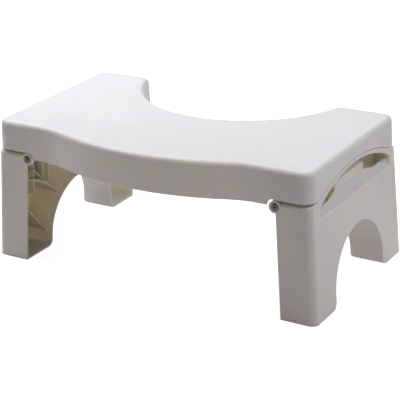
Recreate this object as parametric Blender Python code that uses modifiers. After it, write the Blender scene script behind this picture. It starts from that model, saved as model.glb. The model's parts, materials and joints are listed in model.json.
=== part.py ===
"""Folding toilet footstool: a moulded deck on two hollow legs that fold inwards under it.

x runs to the right, y to the back, z up, in metres. The deck's round notch faces the back. Heights
are measured from the floor, and depths from the middle of the legs.
"""

import math

import bmesh
import bpy

# Deck, in plan
DECK_HALF_LENGTH = 0.2125
DECK_HALF_DEPTH = 0.114
DECK_CORNER_R = 0.014
BULGE_REACH = 0.027
BULGE_R = 0.320
BULGE_BLEND_R = 0.100
NOTCH_MARGIN = 0.0289
NOTCH_CENTRE_BACK = 0.031
NOTCH_MOUTH_R = 0.010

# Deck, in height
DECK_Z = 0.178
DECK_RIM_R = 0.006
DECK_WALL = 0.0025
SKIRT_DRAFT = 0.0019
SKIRT_EDGE_Z = 0.1345
SKIRT_CORNER_Z = 0.1417
END_ARCH_Z = 0.1596
SHOULDER_MARGIN = 0.0224
DECK_RIB_DEPTH = 0.012
DECK_RIB = 0.0018
DECK_RIB_X_SHARES = (-0.6, -0.4, -0.2, 0, 0.2, 0.4, 0.6)
DECK_RIB_Y_SHARES = (-0.55, 0.5)

# Hinge, one line of two screws at each end of the deck
HINGE_SETBACK = 0.0431
HINGE_Z = 0.1333
EAR_R = 0.0074
EAR_DEPTH = 0.0054
EAR_ROOM = 0.0022
BOSS_R = 0.0055
BOSS_DEPTH = 0.012
BOSS_WEB = 0.0022

# Screws, with a cross recess
SCREW_HEAD_R = 0.0042
SCREW_HEAD_DEPTH = 0.0020
SCREW_HEAD_EDGE = 0.0006
SCREW_SHANK_R = 0.0020
SCREW_GRIP = 0.009
SCREW_POINT = 0.0015
RECESS_HALF_LENGTH = 0.0022
RECESS_HALF_WIDTH = 0.0005
RECESS_DEPTH = 0.0012
HEAD_ROOM = 0.0013

# Leg, a tray that is open towards the middle of the stool
LEG_PROUD_X = 0.0017
LEG_PROUD_Y = 0.0013
FOOT_SPLAY_X = 0.0084
FOOT_SPLAY_Y = 0.005
MOUTH_SETBACK = 0.0008
MOUTH_SPLAY = 0.008
LEG_CORNER_R = 0.009
LEG_TOP_EDGE_R = 0.004
LEG_WALL = 0.0025
LEG_TOP_GAP = 0.0007
ARCH_INNER_R = 0.0660
ARCH_INNER_Z = 0.0105
ARCH_OUTER_R = 0.0655
ARCH_OUTER_Z = 0.0155
FOOT_CORNER_R = 0.0085

# Hand-hold in each leg's outer wall
HOLD_MARGIN = 0.0203
HOLD_BOTTOM_Z = 0.1186
BAND_BOTTOM_Z = 0.1553
BAND_END_Z = 0.132
PANEL_LEDGE = 0.0009
PANEL_LEAN = 0.0055
PANEL_TOP_Z = 0.132
PANEL_END_Z = 0.1272
PANEL_SHOULDER_Y = 0.060
PANEL_WALL = 0.0022
BOX_HALF_LENGTH = 0.0385
BOX_TOP_Z = 0.142
BOX_CORNER_R = 0.0045
BOX_FACE_SETBACK = 0.0012
POCKET_DEPTH = 0.024

# Ribs inside each foot
LEG_RIB = 0.0018
LEG_RIB_SETBACK = 0.008
LEG_RIB_STEP = 0.0006
BRACE_LOW_Y = 0.038
BRACE_LOW_Z = 0.0587
BRACE_HIGH_Z = 0.1041
BRACE_R = 0.141
STRUT_LOW_Y = 0.066
STRUT_LOW_Z = 0.0175
STRUT_HIGH_Z = 0.0785
UPRIGHT_YS = (0.059, 0.069, 0.088)
UPRIGHT_LOW_ZS = (0.084, 0.088, 0.076)
UPRIGHT_HIGH_Z = 0.1165
FORK_Z = 0.109
FORK_DROP = 0.014

# Fits and mesh
CLEARANCE = 0.0003
SWEEP_ROOM = 0.0025
OVERRUN = 0.005
ARC_SAG = 0.00015
MERGE = 0.00001
DECK_RIM_STEPS = 3
SHARP_ANGLE = 60
SCREW_STEPS = 24

# Hinge line, notch and legs, which follow the deck
HINGE_X = DECK_HALF_LENGTH - HINGE_SETBACK
NOTCH_CENTRE_Y = DECK_HALF_DEPTH + NOTCH_CENTRE_BACK
NOTCH_R = HINGE_X - NOTCH_MARGIN
LEG_INNER_X = HINGE_X + MOUTH_SETBACK
FOOT_INNER_X = LEG_INNER_X + MOUTH_SPLAY
LEG_OUTER_X = DECK_HALF_LENGTH + LEG_PROUD_X
FOOT_OUTER_X = LEG_OUTER_X + FOOT_SPLAY_X
LEG_HALF_DEPTH = DECK_HALF_DEPTH + LEG_PROUD_Y
FOOT_HALF_DEPTH = LEG_HALF_DEPTH + FOOT_SPLAY_Y
SHOULDER_Y = LEG_HALF_DEPTH - SHOULDER_MARGIN
HOLD_HALF_LENGTH = LEG_HALF_DEPTH - HOLD_MARGIN

# The box round the whole stool is centred on y = 0
MIDDLE_Y = (DECK_HALF_DEPTH + SKIRT_DRAFT + BULGE_REACH - FOOT_HALF_DEPTH) / 2


def clear_scene():
    for thing in list(bpy.data.objects):
        bpy.data.objects.remove(thing)


def new_collection(name):
    collection = bpy.data.collections.new(name)
    bpy.context.scene.collection.children.link(collection)
    return collection


def new_material(name, colour, roughness, metallic):
    material = bpy.data.materials.new(name)
    material.use_nodes = True
    shader = material.node_tree.nodes["Principled BSDF"]
    shader.inputs["Base Color"].default_value = (*colour, 1)
    shader.inputs["Roughness"].default_value = roughness
    shader.inputs["Metallic"].default_value = metallic
    return material


def new_holder(name, collection, location, parent=None):
    """Empty that pieces hang from."""
    holder = bpy.data.objects.new(name, None)
    holder.location = location
    holder.parent = parent
    collection.objects.link(holder)
    return holder


def new_object(name, mesh, collection, holder):
    """Object of a bmesh whose points are given from the middle of the legs."""
    data = bpy.data.meshes.new(name)
    mesh.to_mesh(data)
    mesh.free()
    thing = bpy.data.objects.new(name, data)
    collection.objects.link(thing)
    thing.parent = holder
    if holder.parent:
        thing.location = -holder.location
    return thing


def combine(body, tool, operation):
    """Boolean of a body with a tool, which stays out of the picture."""
    tool.hide_render = True
    tool.display_type = "WIRE"
    boolean = body.modifiers.new(tool.name, "BOOLEAN")
    boolean.operation = operation
    boolean.object = tool


def arc_steps(radius, sweep):
    """How many chords keep an arc within ARC_SAG of round."""
    return max(2, math.ceil(abs(math.radians(sweep)) / (2 * math.acos(1 - ARC_SAG / radius))))


def arc(centre, radius, start, sweep, steps):
    """Points round part of a circle, both ends included; angles are in degrees."""
    angles = [math.radians(start + sweep * step / steps) for step in range(steps + 1)]
    return [
        (centre[0] + radius * math.cos(angle), centre[1] + radius * math.sin(angle))
        for angle in angles
    ]


def round_arc(centre, radius, start, sweep):
    return arc(centre, radius, start, sweep, arc_steps(radius, sweep))


def bow(half_chord, peak_z, end_z):
    """Centre height and radius of an arc over a chord, and half the angle that it spans."""
    rise = peak_z - end_z
    radius = (half_chord**2 + rise**2) / (2 * rise)
    return peak_z - radius, radius, math.degrees(math.asin(half_chord / radius))


def skin(rings, open_end=False):
    """Surface through rings of as many points each, closed by a face over each end ring."""
    mesh = bmesh.new()
    loops = [[mesh.verts.new(point) for point in ring] for ring in rings]
    for near, far in zip(loops, loops[1:]):
        for index in range(len(near)):
            mesh.faces.new((near[index], near[index - 1], far[index - 1], far[index]))
    mesh.faces.new(loops[0])
    if not open_end:
        mesh.faces.new(reversed(loops[-1]))
        bmesh.ops.recalc_face_normals(mesh, faces=mesh.faces)
    return mesh


def box(low, high):
    """Box between two corners."""
    mesh = bmesh.new()
    bmesh.ops.create_cube(mesh, size=1)
    size = [top - bottom for bottom, top in zip(low, high)]
    middle = [(top + bottom) / 2 for bottom, top in zip(low, high)]
    bmesh.ops.scale(mesh, vec=size, verts=mesh.verts)
    bmesh.ops.translate(mesh, vec=middle, verts=mesh.verts)
    return mesh


def cylinder_along_y(x, z, near_y, far_y, radius):
    ring = arc((x, z), radius, 0, 360 - 360 / SCREW_STEPS, SCREW_STEPS - 1)
    return skin([[(x, y, z) for x, z in ring] for y in (near_y, far_y)])


def deck_outline(grow):
    """Plan of the deck, anticlockwise from above, with its edge moved outwards."""
    reach = BULGE_R + BULGE_BLEND_R
    blend_x = math.sqrt(reach**2 - (reach - BULGE_REACH) ** 2)
    blend_angle = math.degrees(math.asin(blend_x / reach))
    bulge = arc(
        (0, BULGE_R - BULGE_REACH - DECK_HALF_DEPTH),
        BULGE_R + grow,
        -90,
        blend_angle,
        arc_steps(BULGE_R, blend_angle),
    )
    blend = arc(
        (blend_x, -DECK_HALF_DEPTH - BULGE_BLEND_R),
        BULGE_BLEND_R - grow,
        90 + blend_angle,
        -blend_angle,
        arc_steps(BULGE_BLEND_R, blend_angle),
    )
    corner_x = DECK_HALF_LENGTH - DECK_CORNER_R
    corner_y = DECK_HALF_DEPTH - DECK_CORNER_R
    corner_steps = arc_steps(DECK_CORNER_R, 90)
    front_corner = arc((corner_x, -corner_y), DECK_CORNER_R + grow, -90, 90, corner_steps)
    back_corner = arc((corner_x, corner_y), DECK_CORNER_R + grow, 0, 90, corner_steps)
    mouth_y = DECK_HALF_DEPTH - NOTCH_MOUTH_R
    mouth_x = math.sqrt((NOTCH_R + NOTCH_MOUTH_R) ** 2 - (NOTCH_CENTRE_Y - mouth_y) ** 2)
    mouth_angle = math.degrees(math.atan2(NOTCH_CENTRE_Y - mouth_y, mouth_x))
    mouth = arc(
        (mouth_x, mouth_y),
        NOTCH_MOUTH_R + grow,
        90,
        90 - mouth_angle,
        arc_steps(NOTCH_MOUTH_R, 90 - mouth_angle),
    )
    notch = arc(
        (0, NOTCH_CENTRE_Y),
        NOTCH_R - grow,
        -mouth_angle,
        mouth_angle - 90,
        arc_steps(NOTCH_R, 90 - mouth_angle),
    )
    right = bulge + blend[1:] + front_corner + back_corner + mouth + notch[1:]
    return right + [(-x, y) for x, y in reversed(right[1:-1])]


def deck_rings(top_inset, edge_inset, top_z, edge_z):
    top = [(x, y, top_z) for x, y in deck_outline(-top_inset)]
    edge = [(x, y, edge_z) for x, y in deck_outline(SKIRT_DRAFT - edge_inset)]
    return [top, edge]


def mirrored(points):
    """Points of one half of an outline, turned over and taken the other way."""
    return [(-y, z) for y, z in reversed(points)]


def end_curve(drop):
    """Edge of the deck's end wall over a leg, from its back shoulder to its peak, or that lowered."""
    centre_z, radius, half_angle = bow(SHOULDER_Y, END_ARCH_Z, SKIRT_CORNER_Z)
    return round_arc((0, centre_z - drop), radius, 90 - half_angle, half_angle)


def deck_end_cutter(side):
    """What is cut from the skirt at one end: shallow corners and the arch between them."""
    reach = DECK_HALF_DEPTH + BULGE_REACH
    back = [(reach, SKIRT_EDGE_Z - OVERRUN), (reach, SKIRT_CORNER_Z)] + end_curve(0)
    outline = back + mirrored(back[:-1])
    near, far = HINGE_X, DECK_HALF_LENGTH + OVERRUN
    return skin([[(side * x, y, z) for y, z in outline] for x in (near, far)])


def ear_notch(side):
    """What is cut from the deep skirt round the two ears at one end."""
    radius = EAR_R + EAR_ROOM
    rise = math.degrees(math.asin((SKIRT_CORNER_Z - HINGE_Z) / radius))
    outline = round_arc((HINGE_X, HINGE_Z), radius, 180 - rise, rise)
    low = SKIRT_EDGE_Z - OVERRUN
    outer = HINGE_X + OVERRUN
    outline += [(HINGE_X - radius, low), (outer, low), (outer, SKIRT_CORNER_Z)]
    reach = DECK_HALF_DEPTH + BULGE_REACH
    return skin([[(side * x, y, z) for x, z in outline] for y in (-reach, reach)])


def deck_rib_boxes():
    """Stiffening ribs under the deck, longer than the deck in each direction."""
    top = DECK_Z - DECK_WALL / 2
    low = DECK_Z - DECK_WALL - DECK_RIB_DEPTH
    reach_x = DECK_HALF_LENGTH + OVERRUN
    reach_y = DECK_HALF_DEPTH + BULGE_REACH + OVERRUN
    half = DECK_RIB / 2
    for share in DECK_RIB_X_SHARES:
        x = share * DECK_HALF_LENGTH
        yield box((x - half, -reach_y, low), (x + half, reach_y, top))
    for share in DECK_RIB_Y_SHARES:
        y = share * DECK_HALF_DEPTH
        yield box((-reach_x, y - half, low), (reach_x, y + half, top))


def boss_start():
    """Depth at which a deck boss begins, behind the leg's ear."""
    return LEG_HALF_DEPTH - EAR_DEPTH - CLEARANCE


def hinge_support(side, face):
    """The deck's boss for one screw, its web and its cross plate, as three overlapping solids."""
    x = side * HINGE_X
    near, far = face * boss_start(), face * (boss_start() - BOSS_DEPTH)
    top = DECK_Z - DECK_WALL / 2
    low_y, high_y = sorted((near, far))
    half = BOSS_WEB / 2
    back_y = sorted((far, far + face * BOSS_WEB))
    plate_x = sorted((x - side * (EAR_R + EAR_ROOM), x + side * BOSS_R))
    yield cylinder_along_y(x, HINGE_Z, near, far, BOSS_R)
    yield box((x - half, low_y, HINGE_Z), (x + half, high_y, top))
    yield box((plate_x[0], back_y[0], HINGE_Z + BOSS_R / 2), (plate_x[1], back_y[1], top))


def round_rim(body, inset):
    """Rounds the top edge of a deck body whose faces are drawn in by the inset."""
    rim = body.modifiers.new("rim", "BEVEL")
    rim.width = DECK_RIM_R - inset
    rim.segments = DECK_RIM_STEPS
    rim.limit_method = "ANGLE"
    rim.angle_limit = math.radians(SHARP_ANGLE)


def make_deck(parts, tools, stool, material):
    rings = deck_rings(0, 0, DECK_Z, SKIRT_EDGE_Z)
    deck = new_object("deck", skin(rings, open_end=True), parts, stool)
    deck.data.materials.append(material)
    round_rim(deck, 0)
    wall = deck.modifiers.new("wall", "SOLIDIFY")
    wall.thickness = DECK_WALL
    wall.offset = -1
    wall.use_even_offset = True
    for side, end in ((-1, "left"), (1, "right")):
        cutter = new_object(f"deck_{end}_end_cutter", deck_end_cutter(side), tools, stool)
        combine(deck, cutter, "DIFFERENCE")
        notch = new_object(f"deck_{end}_ear_notch", ear_notch(side), tools, stool)
        combine(deck, notch, "DIFFERENCE")
    half_wall = DECK_WALL / 2
    rings = deck_rings(half_wall, half_wall, DECK_Z - half_wall, SKIRT_EDGE_Z)
    core = new_object("deck_core", skin(rings), tools, stool)
    round_rim(core, half_wall)
    for index, mesh in enumerate(deck_rib_boxes()):
        rib = new_object(f"deck_rib_{index}", mesh, tools, stool)
        combine(rib, core, "INTERSECT")
        combine(deck, rib, "UNION")
    for side, face, corner in CORNERS:
        for index, mesh in enumerate(hinge_support(side, face)):
            support = new_object(f"{corner}_support_{index}", mesh, tools, stool)
            combine(deck, support, "UNION")
        start = face * (boss_start() + OVERRUN)
        end = face * (boss_start() - SCREW_GRIP - CLEARANCE)
        hole = cylinder_along_y(side * HINGE_X, HINGE_Z, start, end, SCREW_SHANK_R + CLEARANCE)
        combine(deck, new_object(f"{corner}_boss_hole", hole, tools, stool), "DIFFERENCE")


def along(low, high, z):
    """Value at height z of what is low at the floor and high at the hinge line."""
    return low + (high - low) * z / HINGE_Z


def inner_x(z):
    return along(FOOT_INNER_X, LEG_INNER_X, z)


def outer_x(z):
    return along(FOOT_OUTER_X, LEG_OUTER_X, z)


def half_depth(z):
    return along(FOOT_HALF_DEPTH, LEG_HALF_DEPTH, z)


def leg_plan(side, z, inset, mouth):
    """Section of a leg across its height: its outer corners are round and its mouth faces inwards."""
    outer, depth, radius = outer_x(z) - inset, half_depth(z) - inset, LEG_CORNER_R - inset
    steps = arc_steps(LEG_CORNER_R, 90)
    points = [(inner_x(z) - mouth, -depth)]
    points += arc((outer - radius, radius - depth), radius, -90, 90, steps)
    points += arc((outer - radius, depth - radius), radius, 0, 90, steps)
    points += [(inner_x(z) - mouth, depth)]
    return [(side * x, y, z) for x, y in points]


def arch_at(x):
    """Radius and centre height of a leg's arch, which narrows towards the open side."""
    inner = (FOOT_INNER_X + LEG_INNER_X) / 2
    outer = (FOOT_OUTER_X + LEG_OUTER_X) / 2
    share = (x - inner) / (outer - inner)
    radius = ARCH_INNER_R + (ARCH_OUTER_R - ARCH_INNER_R) * share
    return radius, ARCH_INNER_Z + (ARCH_OUTER_Z - ARCH_INNER_Z) * share


def leg_profile(side, x, inset):
    """Side view of a leg: two feet, the arch between them, and the top under the deck."""
    radius, centre_z = arch_at(x)
    reach = FOOT_HALF_DEPTH + OVERRUN
    foot_steps = arc_steps(FOOT_CORNER_R, 90)
    toe = arc((radius + FOOT_CORNER_R, FOOT_CORNER_R), FOOT_CORNER_R - inset, 180, 90, foot_steps)
    arch = arc((0, centre_z), radius + inset, 0, 90, arc_steps(ARCH_INNER_R, 90))
    top_z = SKIRT_CORNER_Z - LEG_TOP_GAP
    edge_y = half_depth(top_z) - LEG_TOP_EDGE_R + CLEARANCE / 2
    edge_z = top_z - LEG_TOP_EDGE_R
    edge = arc((edge_y, edge_z), LEG_TOP_EDGE_R - inset, 0, 90, arc_steps(LEG_TOP_EDGE_R, 90))
    ridge = end_curve(LEG_TOP_GAP + inset)
    back = arch[::-1] + toe + [(reach, inset), (reach, edge_z)] + edge + ridge
    return [(side * x, y, z) for y, z in back + mirrored(back[1:-1])]


def leg_body(name, side, inset, mouth, collection, tools, holder):
    """Solid outline of a leg, drawn in all round by the inset but for its mouth."""
    low, high = -OVERRUN, END_ARCH_Z + OVERRUN
    plan = skin([leg_plan(side, z, inset, mouth) for z in (low, high)])
    body = new_object(name, plan, collection, holder)
    near, far = HINGE_X - 2 * OVERRUN, FOOT_OUTER_X + 2 * OVERRUN
    profile = skin([leg_profile(side, x, inset) for x in (near, far)])
    combine(body, new_object(f"{name}_profile", profile, tools, holder), "INTERSECT")
    return body


def hold_opening(side):
    """Hand-hold through the outer wall: straight below, arched above."""
    centre_z, radius, half_angle = bow(HOLD_HALF_LENGTH, BAND_BOTTOM_Z, BAND_END_Z)
    outline = [(-HOLD_HALF_LENGTH, HOLD_BOTTOM_Z), (HOLD_HALF_LENGTH, HOLD_BOTTOM_Z)]
    outline += round_arc((0, centre_z), radius, 90 - half_angle, 2 * half_angle)
    near, far = LEG_OUTER_X - LEG_WALL - SWEEP_ROOM, FOOT_OUTER_X + OVERRUN
    return skin([[(side * x, y, z) for y, z in outline] for x in (near, far)])


def panel_x(z):
    """Face of the panel behind the hand-hold, which leans inwards as it rises."""
    start = outer_x(HOLD_BOTTOM_Z) - PANEL_LEDGE
    return start - PANEL_LEAN * (z - HOLD_BOTTOM_Z) / (PANEL_TOP_Z - HOLD_BOTTOM_Z)


def hold_panel(side):
    end = HOLD_HALF_LENGTH + PANEL_WALL
    low = HOLD_BOTTOM_Z - LEG_WALL / 2
    right = [(end, low), (end, PANEL_END_Z), (PANEL_SHOULDER_Y, PANEL_END_Z)]
    right += [(BOX_HALF_LENGTH, PANEL_TOP_Z)]
    outline = right + mirrored(right)
    return skin([[(side * (panel_x(z) - wall), y, z) for y, z in outline] for wall in (0, PANEL_WALL)])


def pocket_boxes(side):
    """Floor, back and two ends of the pocket behind the hand-hold, reaching up past the leg's top."""
    outer, back = outer_x(HOLD_BOTTOM_Z), outer_x(HOLD_BOTTOM_Z) - POCKET_DEPTH
    reach, low = HOLD_HALF_LENGTH + PANEL_WALL, HOLD_BOTTOM_Z - LEG_WALL
    spans = [((back, outer), (-reach, reach), (low, low + PANEL_WALL))]
    spans += [((back, back + PANEL_WALL), (-reach, reach), (low, END_ARCH_Z))]
    for face, _ in FACES:
        ends = sorted((face * (reach - PANEL_WALL), face * reach))
        spans += [((back, outer), ends, (low, END_ARCH_Z))]
    for (near, far), (low_y, high_y), (low_z, high_z) in spans:
        low_x, high_x = sorted((side * near, side * far))
        yield box((low_x, low_y, low_z), (high_x, high_y, high_z))


def box_outline(inset, low):
    """Side view of the box in the middle of the hand-hold, round at its top corners."""
    y, z, radius = BOX_HALF_LENGTH - inset, BOX_TOP_Z - inset, BOX_CORNER_R - inset
    steps = arc_steps(BOX_CORNER_R, 90)
    right = [(y, low)] + arc((y - radius, z - radius), radius, 0, 90, steps)
    return right + mirrored(right)


def hold_box(side):
    """Box in the middle of the hand-hold, from behind the panel to the pocket's back, and its hollow."""
    face = panel_x(PANEL_TOP_Z) - BOX_FACE_SETBACK
    back = outer_x(HOLD_BOTTOM_Z) - POCKET_DEPTH + PANEL_WALL / 2
    outer = box_outline(0, HOLD_BOTTOM_Z - LEG_WALL / 2)
    inner = box_outline(PANEL_WALL, HOLD_BOTTOM_Z)
    shell = skin([[(side * x, y, z) for y, z in outer] for x in (face, back)])
    ends = (face - PANEL_WALL, back - OVERRUN)
    return shell, skin([[(side * x, y, z) for y, z in inner] for x in ends])


def ribbon(points, width):
    """Outline of a strip that follows points in the plane."""
    left, right = [], []
    for index, (y, z) in enumerate(points):
        before = points[max(index - 1, 0)]
        after = points[min(index + 1, len(points) - 1)]
        dy, dz = after[0] - before[0], after[1] - before[1]
        scale = width / 2 / math.hypot(dy, dz)
        left.append((y - dz * scale, z + dy * scale))
        right.append((y + dz * scale, z - dy * scale))
    return left + right[::-1]


def brace_curve():
    """Curved brace from the front or rear wall down to the arch, bowed upwards."""
    high = (FOOT_HALF_DEPTH, BRACE_HIGH_Z)
    low = (BRACE_LOW_Y, BRACE_LOW_Z)
    span_y, span_z = high[0] - low[0], high[1] - low[1]
    span = math.hypot(span_y, span_z)
    rise = math.sqrt(BRACE_R**2 - (span / 2) ** 2)
    centre = (
        (high[0] + low[0]) / 2 + span_z / span * rise,
        (high[1] + low[1]) / 2 - span_y / span * rise,
    )
    start = math.degrees(math.atan2(high[1] - centre[1], high[0] - centre[0]))
    sweep = math.degrees(2 * math.asin(span / 2 / BRACE_R))
    return round_arc(centre, BRACE_R, start, sweep)


def foot_ribs():
    """Lines in the side view that the ribs of one foot follow."""
    yield brace_curve()
    yield [(STRUT_LOW_Y, STRUT_LOW_Z), (FOOT_HALF_DEPTH, STRUT_HIGH_Z)]
    for y, low_z in zip(UPRIGHT_YS, UPRIGHT_LOW_ZS):
        yield [(y, low_z), (y, UPRIGHT_HIGH_Z)]
    fork_y = UPRIGHT_YS[-1]
    for reach in (-FORK_DROP, FORK_DROP):
        yield [(fork_y, FORK_Z), (fork_y + reach, FORK_Z - FORK_DROP)]


def make_leg(end, side, parts, tools, stool, material):
    hinge = new_holder(f"{end}_hinge", parts, (side * HINGE_X, 0, HINGE_Z), stool)
    name = f"{end}_leg"
    leg = leg_body(name, side, 0, 0, parts, tools, hinge)
    leg.data.materials.append(material)
    hollow = leg_body(f"{name}_hollow", side, LEG_WALL, OVERRUN, tools, tools, hinge)
    combine(leg, hollow, "DIFFERENCE")
    core = leg_body(f"{name}_core", side, LEG_WALL / 2, 0, tools, tools, hinge)

    def tool(label, mesh, operation):
        combine(leg, new_object(f"{name}_{label}", mesh, tools, hinge), operation)

    for face, place in FACES:
        inner, outer = HINGE_X - OVERRUN, HINGE_X + BOSS_R + SWEEP_ROOM
        far = half_depth(SKIRT_CORNER_Z) - LEG_WALL
        near = boss_start() - BOSS_DEPTH - SWEEP_ROOM
        low_x, high_x = sorted((side * inner, side * outer))
        low_y, high_y = sorted((face * near, face * far))
        room = box((low_x, low_y, HINGE_Z), (high_x, high_y, SKIRT_CORNER_Z + OVERRUN))
        tool(f"{place}_boss_room", room, "DIFFERENCE")
    for index, mesh in enumerate(pocket_boxes(side)):
        wall = new_object(f"{name}_pocket_{index}", mesh, tools, hinge)
        combine(wall, core, "INTERSECT")
        combine(leg, wall, "UNION")
    tool("hold_opening", hold_opening(side), "DIFFERENCE")
    tool("hold_panel", hold_panel(side), "UNION")
    shell, hollow_mesh = hold_box(side)
    tool("hold_box", shell, "UNION")
    tool("hold_box_hollow", hollow_mesh, "DIFFERENCE")
    for face, place in FACES:
        for index, line in enumerate(foot_ribs()):
            outline = ribbon([(face * y, z) for y, z in line], LEG_RIB)
            setback = LEG_RIB_SETBACK + index * LEG_RIB_STEP
            free = [(side * (inner_x(z) + setback), y, z) for y, z in outline]
            fixed = [(side * outer_x(z), y, z) for y, z in outline]
            rib = new_object(f"{name}_{place}_rib_{index}", skin([free, fixed]), tools, hinge)
            combine(rib, core, "INTERSECT")
            combine(leg, rib, "UNION")
        x, ear_face = side * HINGE_X, face * LEG_HALF_DEPTH
        inside = ear_face - face * EAR_DEPTH
        outside = ear_face + face * OVERRUN
        seat = ear_face - face * (SCREW_HEAD_DEPTH + 2 * CLEARANCE)
        hole_r = SCREW_SHANK_R + CLEARANCE
        seat_r = SCREW_HEAD_R + HEAD_ROOM
        tool(f"{place}_ear", cylinder_along_y(x, HINGE_Z, ear_face, inside, EAR_R), "UNION")
        hole = cylinder_along_y(x, HINGE_Z, outside, inside - face * OVERRUN, hole_r)
        tool(f"{place}_ear_hole", hole, "DIFFERENCE")
        recess = cylinder_along_y(x, HINGE_Z, outside, seat, seat_r)
        tool(f"{place}_ear_seat", recess, "DIFFERENCE")


def make_screw(corner, side, face, parts, tools, stool, material):
    """Screw turned round its own z axis, with its head's face at the origin."""
    length = EAR_DEPTH + SCREW_GRIP
    profile = [
        (0, 0),
        (SCREW_HEAD_R - SCREW_HEAD_EDGE, 0),
        (SCREW_HEAD_R, -SCREW_HEAD_EDGE),
        (SCREW_HEAD_R, -SCREW_HEAD_DEPTH),
        (SCREW_SHANK_R, -SCREW_HEAD_DEPTH),
        (SCREW_SHANK_R, SCREW_POINT - length),
        (0, -length),
    ]
    mesh = bmesh.new()
    points = [mesh.verts.new((x, 0, z)) for x, z in profile]
    for start, end in zip(points, points[1:]):
        mesh.edges.new((start, end))
    screw = new_object(f"{corner}_screw", mesh, parts, stool)
    screw.data.materials.append(material)
    turn = screw.modifiers.new("turn", "SCREW")
    turn.steps = SCREW_STEPS
    turn.render_steps = SCREW_STEPS
    turn.use_merge_vertices = True
    turn.merge_threshold = MERGE
    long, wide = RECESS_HALF_LENGTH, RECESS_HALF_WIDTH
    quarter = [(long, -wide), (long, wide), (wide, wide)]
    cross = []
    for turns in range(4):
        for x, y in quarter:
            for _ in range(turns):
                x, y = -y, x
            cross.append((x, y))
    recess = skin([[(x, y, z) for x, y in cross] for z in (HEAD_ROOM, -RECESS_DEPTH)])
    recess = new_object(f"{corner}_screw_recess", recess, tools, stool)
    combine(screw, recess, "DIFFERENCE")
    for thing in (screw, recess):
        thing.location = (side * HINGE_X, face * (LEG_HALF_DEPTH - CLEARANCE), HINGE_Z)
        thing.rotation_euler = (math.radians(-90 * face), 0, 0)


ENDS = (("left", -1), ("right", 1))
FACES = ((-1, "front"), (1, "rear"))
CORNERS = [(side, face, f"{place}_{end}") for end, side in ENDS for face, place in FACES]


def main():
    clear_scene()
    parts = new_collection("toilet_footstool")
    tools = new_collection("cutters")
    stool = new_holder("stool", parts, (0, MIDDLE_Y, 0))
    deck_plastic = new_material("deck_plastic", (0.80, 0.80, 0.81), 0.35, 0)
    leg_plastic = new_material("leg_plastic", (0.78, 0.77, 0.75), 0.35, 0)
    screw_steel = new_material("screw_steel", (0.35, 0.35, 0.36), 0.3, 1)
    make_deck(parts, tools, stool, deck_plastic)
    for end, side in ENDS:
        make_leg(end, side, parts, tools, stool, leg_plastic)
    for side, face, corner in CORNERS:
        make_screw(corner, side, face, parts, tools, stool, screw_steel)


main()
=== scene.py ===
"""Looks of the folding toilet footstool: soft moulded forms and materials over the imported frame.

Lengths are in metres. x runs to the right, y to the back and z up; a height is from the floor, and
until a piece is placed its depth is from the middle of the legs.
"""

import json
import math

import bmesh
import bpy
from mathutils import Matrix, Vector

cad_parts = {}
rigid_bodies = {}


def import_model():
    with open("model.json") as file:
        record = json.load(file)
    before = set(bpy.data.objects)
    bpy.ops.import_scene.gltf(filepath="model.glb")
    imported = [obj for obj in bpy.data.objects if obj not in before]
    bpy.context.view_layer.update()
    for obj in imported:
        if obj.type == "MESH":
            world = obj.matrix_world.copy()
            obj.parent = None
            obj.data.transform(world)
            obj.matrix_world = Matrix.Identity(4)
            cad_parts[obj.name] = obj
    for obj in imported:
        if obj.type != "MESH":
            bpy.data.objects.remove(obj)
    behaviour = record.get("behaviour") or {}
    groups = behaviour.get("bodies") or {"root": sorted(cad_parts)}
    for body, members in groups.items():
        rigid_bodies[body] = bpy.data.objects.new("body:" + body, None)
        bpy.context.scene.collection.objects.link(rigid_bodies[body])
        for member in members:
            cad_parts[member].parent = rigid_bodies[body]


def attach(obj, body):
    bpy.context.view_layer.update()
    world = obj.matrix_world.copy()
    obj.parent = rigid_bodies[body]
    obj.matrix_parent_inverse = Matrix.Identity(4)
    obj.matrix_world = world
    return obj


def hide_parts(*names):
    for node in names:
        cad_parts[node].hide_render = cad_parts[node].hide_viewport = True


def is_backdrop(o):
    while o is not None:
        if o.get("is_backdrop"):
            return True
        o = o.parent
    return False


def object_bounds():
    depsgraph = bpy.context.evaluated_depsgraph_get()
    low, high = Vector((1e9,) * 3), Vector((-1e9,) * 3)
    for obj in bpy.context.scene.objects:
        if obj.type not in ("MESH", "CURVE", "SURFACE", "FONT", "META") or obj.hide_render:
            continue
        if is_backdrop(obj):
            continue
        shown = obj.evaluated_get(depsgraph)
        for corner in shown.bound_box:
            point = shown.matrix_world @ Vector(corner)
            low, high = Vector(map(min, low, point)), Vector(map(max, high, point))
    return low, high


# Deck
DECK_HALF_LENGTH = 0.2125
DECK_HALF_DEPTH = 0.114
DECK_CORNER_R = 0.014
BULGE_REACH = 0.027
BULGE_R = 0.320
BULGE_BLEND_R = 0.100
NOTCH_R = 0.1405
NOTCH_CENTRE_Y = 0.145
NOTCH_MOUTH_R = 0.010
DECK_Z = 0.178
DECK_RIM_R = 0.006
DECK_WALL = 0.0025
SKIRT_DRAFT = 0.0019
SKIRT_EDGE_Z = 0.1345
SKIRT_CORNER_Z = 0.1417
END_ARCH_Z = 0.1596
END_ARCH_R = 0.250
SHOULDER_BLEND = 0.0012
LIP_R = 0.0011
DECK_RIB_DEPTH = 0.012
DECK_RIB = 0.0018
DECK_RIB_RIM_SHARE = 0.7
DECK_RIB_X_SHARES = (-0.6, -0.4, -0.2, 0, 0.2, 0.4, 0.6)
DECK_RIB_Y_SHARES = (-0.55, 0.5)

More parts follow.
